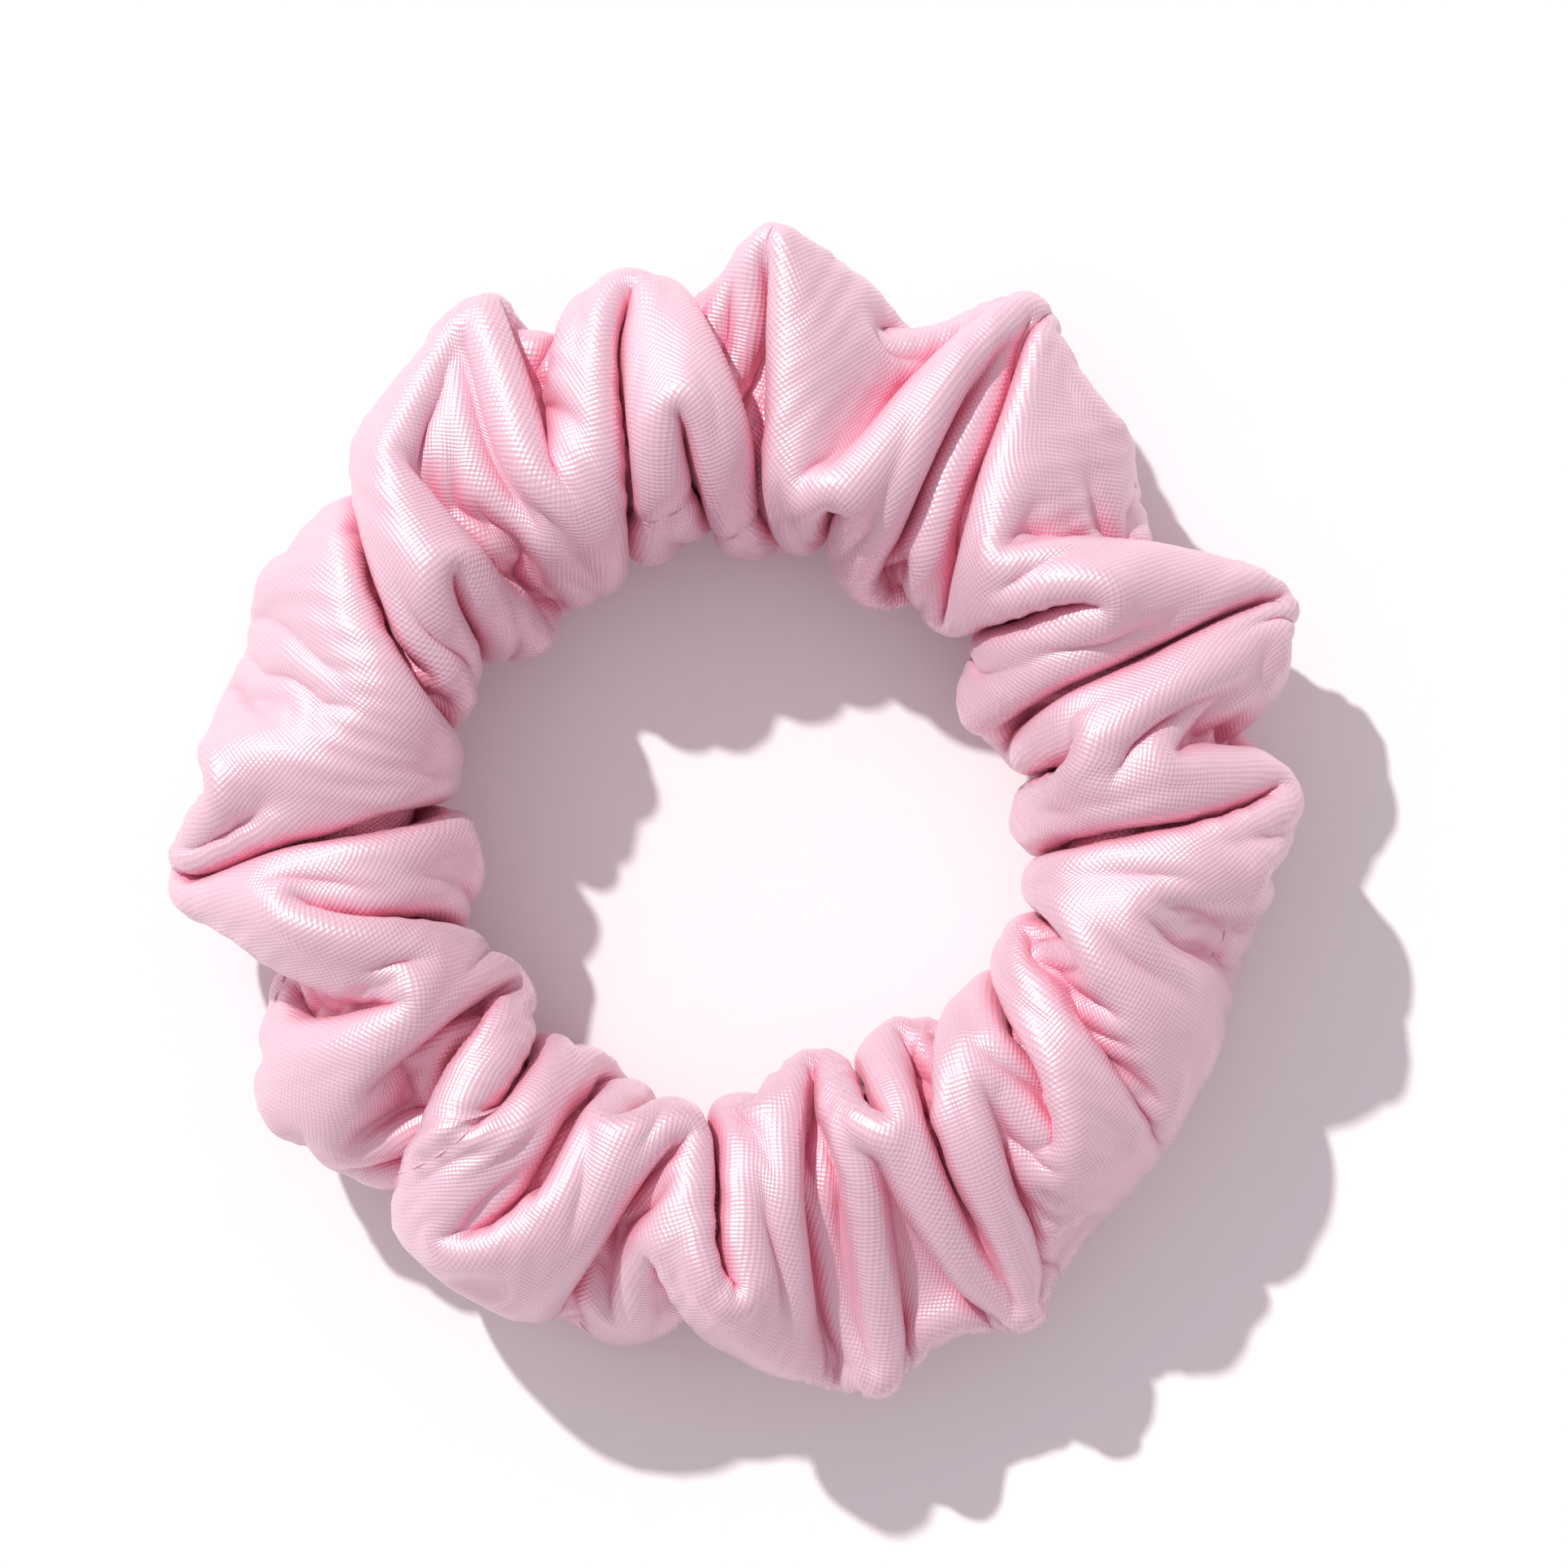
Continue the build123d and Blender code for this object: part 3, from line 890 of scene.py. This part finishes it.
def satin():
    """Pink polyester satin: its domed floats break each highlight into dots, and folds get painted shade, a
    saturated pink that stands in for light bounced between and shone through the thin cloth.
    """
    nodes = Nodes("satin_pink")
    place = nodes.add("ShaderNodeTexCoord", {}, 3)
    parts = nodes.tree.nodes.new("ShaderNodeSeparateXYZ")
    nodes.tree.links.new(nodes.add("ShaderNodeUVMap", {}, uv_map="cloth"), parts.inputs[0])
    drift = nodes.math("MULTIPLY", nodes.noise(place, 110.0), 1.2)
    along, around = (nodes.math("ADD", parts.outputs[axis], drift) for axis in (0, 1))
    pace = TAU / FLOAT_SPACING / hypot(1, 2)
    rise = nodes.math("MULTIPLY", nodes.math("MULTIPLY_ADD", around, 2.0, along), pace)
    across = nodes.math("MULTIPLY", around, -1.0)
    fall = nodes.math("MULTIPLY", nodes.math("MULTIPLY_ADD", along, 2.0, across), pace)
    lattice = nodes.math("ADD", nodes.math("COSINE", rise), nodes.math("COSINE", fall))
    floats = nodes.add("ShaderNodeMapRange", {0: lattice, 1: -2.0, 2: 2.0})
    long_way, short_way = nodes.math("MULTIPLY", along, 0.15), nodes.math("MULTIPLY", around, 2.2)
    streaks = nodes.noise(nodes.add("ShaderNodeCombineXYZ", {0: long_way, 1: short_way}), 1.0)
    mottled = nodes.noise(place, 70.0)
    # Painted shade: where ambient occlusion finds a crease, the colour turns a saturated pink that stands
    # in for light bounced between and shone through the thin cloth.
    crease = nodes.add("ShaderNodeAmbientOcclusion", {"Distance": 0.005}, 1, samples=8)
    painted_shade_mask = nodes.add("ShaderNodeMapRange", {0: crease, 1: 0.2, 2: 0.85})
    flat = nodes.colour(floats, (0.75, 0.49, 0.585, 1), (0.83, 0.59, 0.675, 1))
    varied = nodes.colour(nodes.math("MULTIPLY", mottled, 0.5), flat, (0.83, 0.56, 0.645, 1))
    painted_fold_shade = nodes.colour(streaks, (0.84, 0.27, 0.40, 1), (0.89, 0.34, 0.47, 1))
    weave = nodes.bump(floats, 0.00007, 0.85)
    ripple = nodes.bump(streaks, 0.00005, 0.35, weave)
    return nodes.finish(
        # The base colour carries the painted crease shade, mixed in by ambient occlusion.
        Base_Color=nodes.colour(painted_shade_mask, painted_fold_shade, varied),
        Roughness=nodes.math("MULTIPLY_ADD", streaks, 0.08, nodes.blend(floats, 0.42, 0.21)),
        Metallic=0.27,
        Anisotropic=0.4,
        Tangent=nodes.add("ShaderNodeTangent", {}, direction_type="UV_MAP", uv_map="cloth"),
        Specular_IOR_Level=1.0,
        Sheen_Weight=0.25,
        Sheen_Roughness=0.45,
        Sheen_Tint=(1.0, 0.84, 0.9, 1),
        Normal=ripple,
    )


def thread_finish():
    """Pink spun thread with a slight twist in its ply."""
    nodes = Nodes("thread_pink")
    place = nodes.add("ShaderNodeTexCoord", {}, 3)
    ply = nodes.bands(place, 900.0, 1.5, "DIAGONAL")
    worn = nodes.noise(place, 300.0)
    colour = nodes.colour(ply, (0.70, 0.38, 0.48, 1), (0.80, 0.53, 0.62, 1))
    return nodes.finish(
        Base_Color=nodes.colour(nodes.math("MULTIPLY", worn, 0.4), colour, (0.84, 0.58, 0.66, 1)),
        Roughness=nodes.blend(ply, 0.6, 0.45),
        Sheen_Weight=0.3,
        Normal=nodes.bump(ply, 0.00008, 0.6),
    )


def elastic_finish():
    """Off-white braided elastic: crossed yarns between the ribs."""
    nodes = Nodes("elastic_white")
    place = nodes.add("ShaderNodeTexCoord", {}, 3)
    slanted, level = nodes.bands(place, 260.0, 0.6, "DIAGONAL"), nodes.bands(place, 190.0, 0.6, "Z")
    yarn = nodes.math("MAXIMUM", slanted, level)
    fuzz = nodes.noise(place, 800.0)
    colour = nodes.colour(yarn, (0.62, 0.58, 0.54, 1), (0.86, 0.83, 0.79, 1))
    return nodes.finish(
        Base_Color=nodes.colour(nodes.math("MULTIPLY", fuzz, 0.3), colour, (0.75, 0.70, 0.66, 1)),
        Roughness=nodes.blend(fuzz, 0.65, 0.9),
        Sheen_Weight=0.4,
        Normal=nodes.bump(yarn, 0.00012, 0.7),
    )


# ---- light, floor and camera

SUN_WAY = (-0.59, 0.81)  # across the floor, towards the sun
SUN_ELEVATION = 41.0
SUN_STRENGTH = 3.0
SUN_SIZE = 1.8
FILL_COLOUR = (0.61, 0.535, 0.575, 1)
FLOOR_SIZE = 1200.0
CAMERA_LENS = 150.0
CAMERA_OVER = (4.1, 3.2)
HALF_WIDTH = 75.4


def light_the_scene():
    sun = bpy.data.lights.new("key_sun", "SUN")
    sun.energy = SUN_STRENGTH
    sun.angle = radians(SUN_SIZE)
    sun.color = (1.0, 0.985, 0.96)
    holder = bpy.data.objects.new("key_sun", sun)
    level = cos(radians(SUN_ELEVATION)) / hypot(*SUN_WAY)
    towards = Vector((SUN_WAY[0] * level, SUN_WAY[1] * level, sin(radians(SUN_ELEVATION))))
    holder.rotation_euler = towards.to_track_quat("Z", "Y").to_euler()
    bpy.context.scene.collection.objects.link(holder)
    world = bpy.data.worlds.new("fill")
    world.use_nodes = True
    world.node_tree.nodes["Background"].inputs[0].default_value = FILL_COLOUR
    bpy.context.scene.world = world


def lay_floor():
    nodes = Nodes("floor_white")
    grain = nodes.noise(nodes.add("ShaderNodeTexCoord", {}, 3), 400.0)
    white = nodes.colour(grain, (0.89, 0.885, 0.89, 1), (0.91, 0.905, 0.91, 1))
    material = nodes.finish(Base_Color=white, Roughness=0.9, Specular_IOR_Level=0.2)
    corners = np.array([(-1, -1, 0), (1, -1, 0), (1, 1, 0), (-1, 1, 0)]) * FLOOR_SIZE / 2
    new_mesh("floor", corners, [(0, 1, 2, 3)], material)


def place_camera():
    data = bpy.data.cameras.new("camera")
    data.lens = CAMERA_LENS
    camera = bpy.data.objects.new("camera", data)
    distance = HALF_WIDTH * CAMERA_LENS / (data.sensor_width / 2)
    camera.location = Vector((*CAMERA_OVER, distance)) * MM
    bpy.context.scene.collection.objects.link(camera)
    bpy.context.scene.camera = camera


def make_scrunchie():
    plan = Plan()
    sleeve = Sleeve(sharpen(gather(plan), plan), plan)
    satin_material, thread_material, elastic_material = satin(), thread_finish(), elastic_finish()
    for span in range(SPANS):
        cloth = sleeve_piece(sleeve, span, satin_material)
        band = elastic_piece(span, elastic_material)
        long_seam_threads(sleeve, span, thread_material)
        if span == 0:
            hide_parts(*(node for node in frame["nodes"] if node.startswith("sleeve_")))
            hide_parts("elastic_band")
    closing_seam_threads(sleeve, thread_material)
    elastic_join_thread(thread_material)


make_scrunchie()
light_the_scene()
lay_floor()
place_camera()
bpy.context.scene.view_settings.view_transform = "Standard"
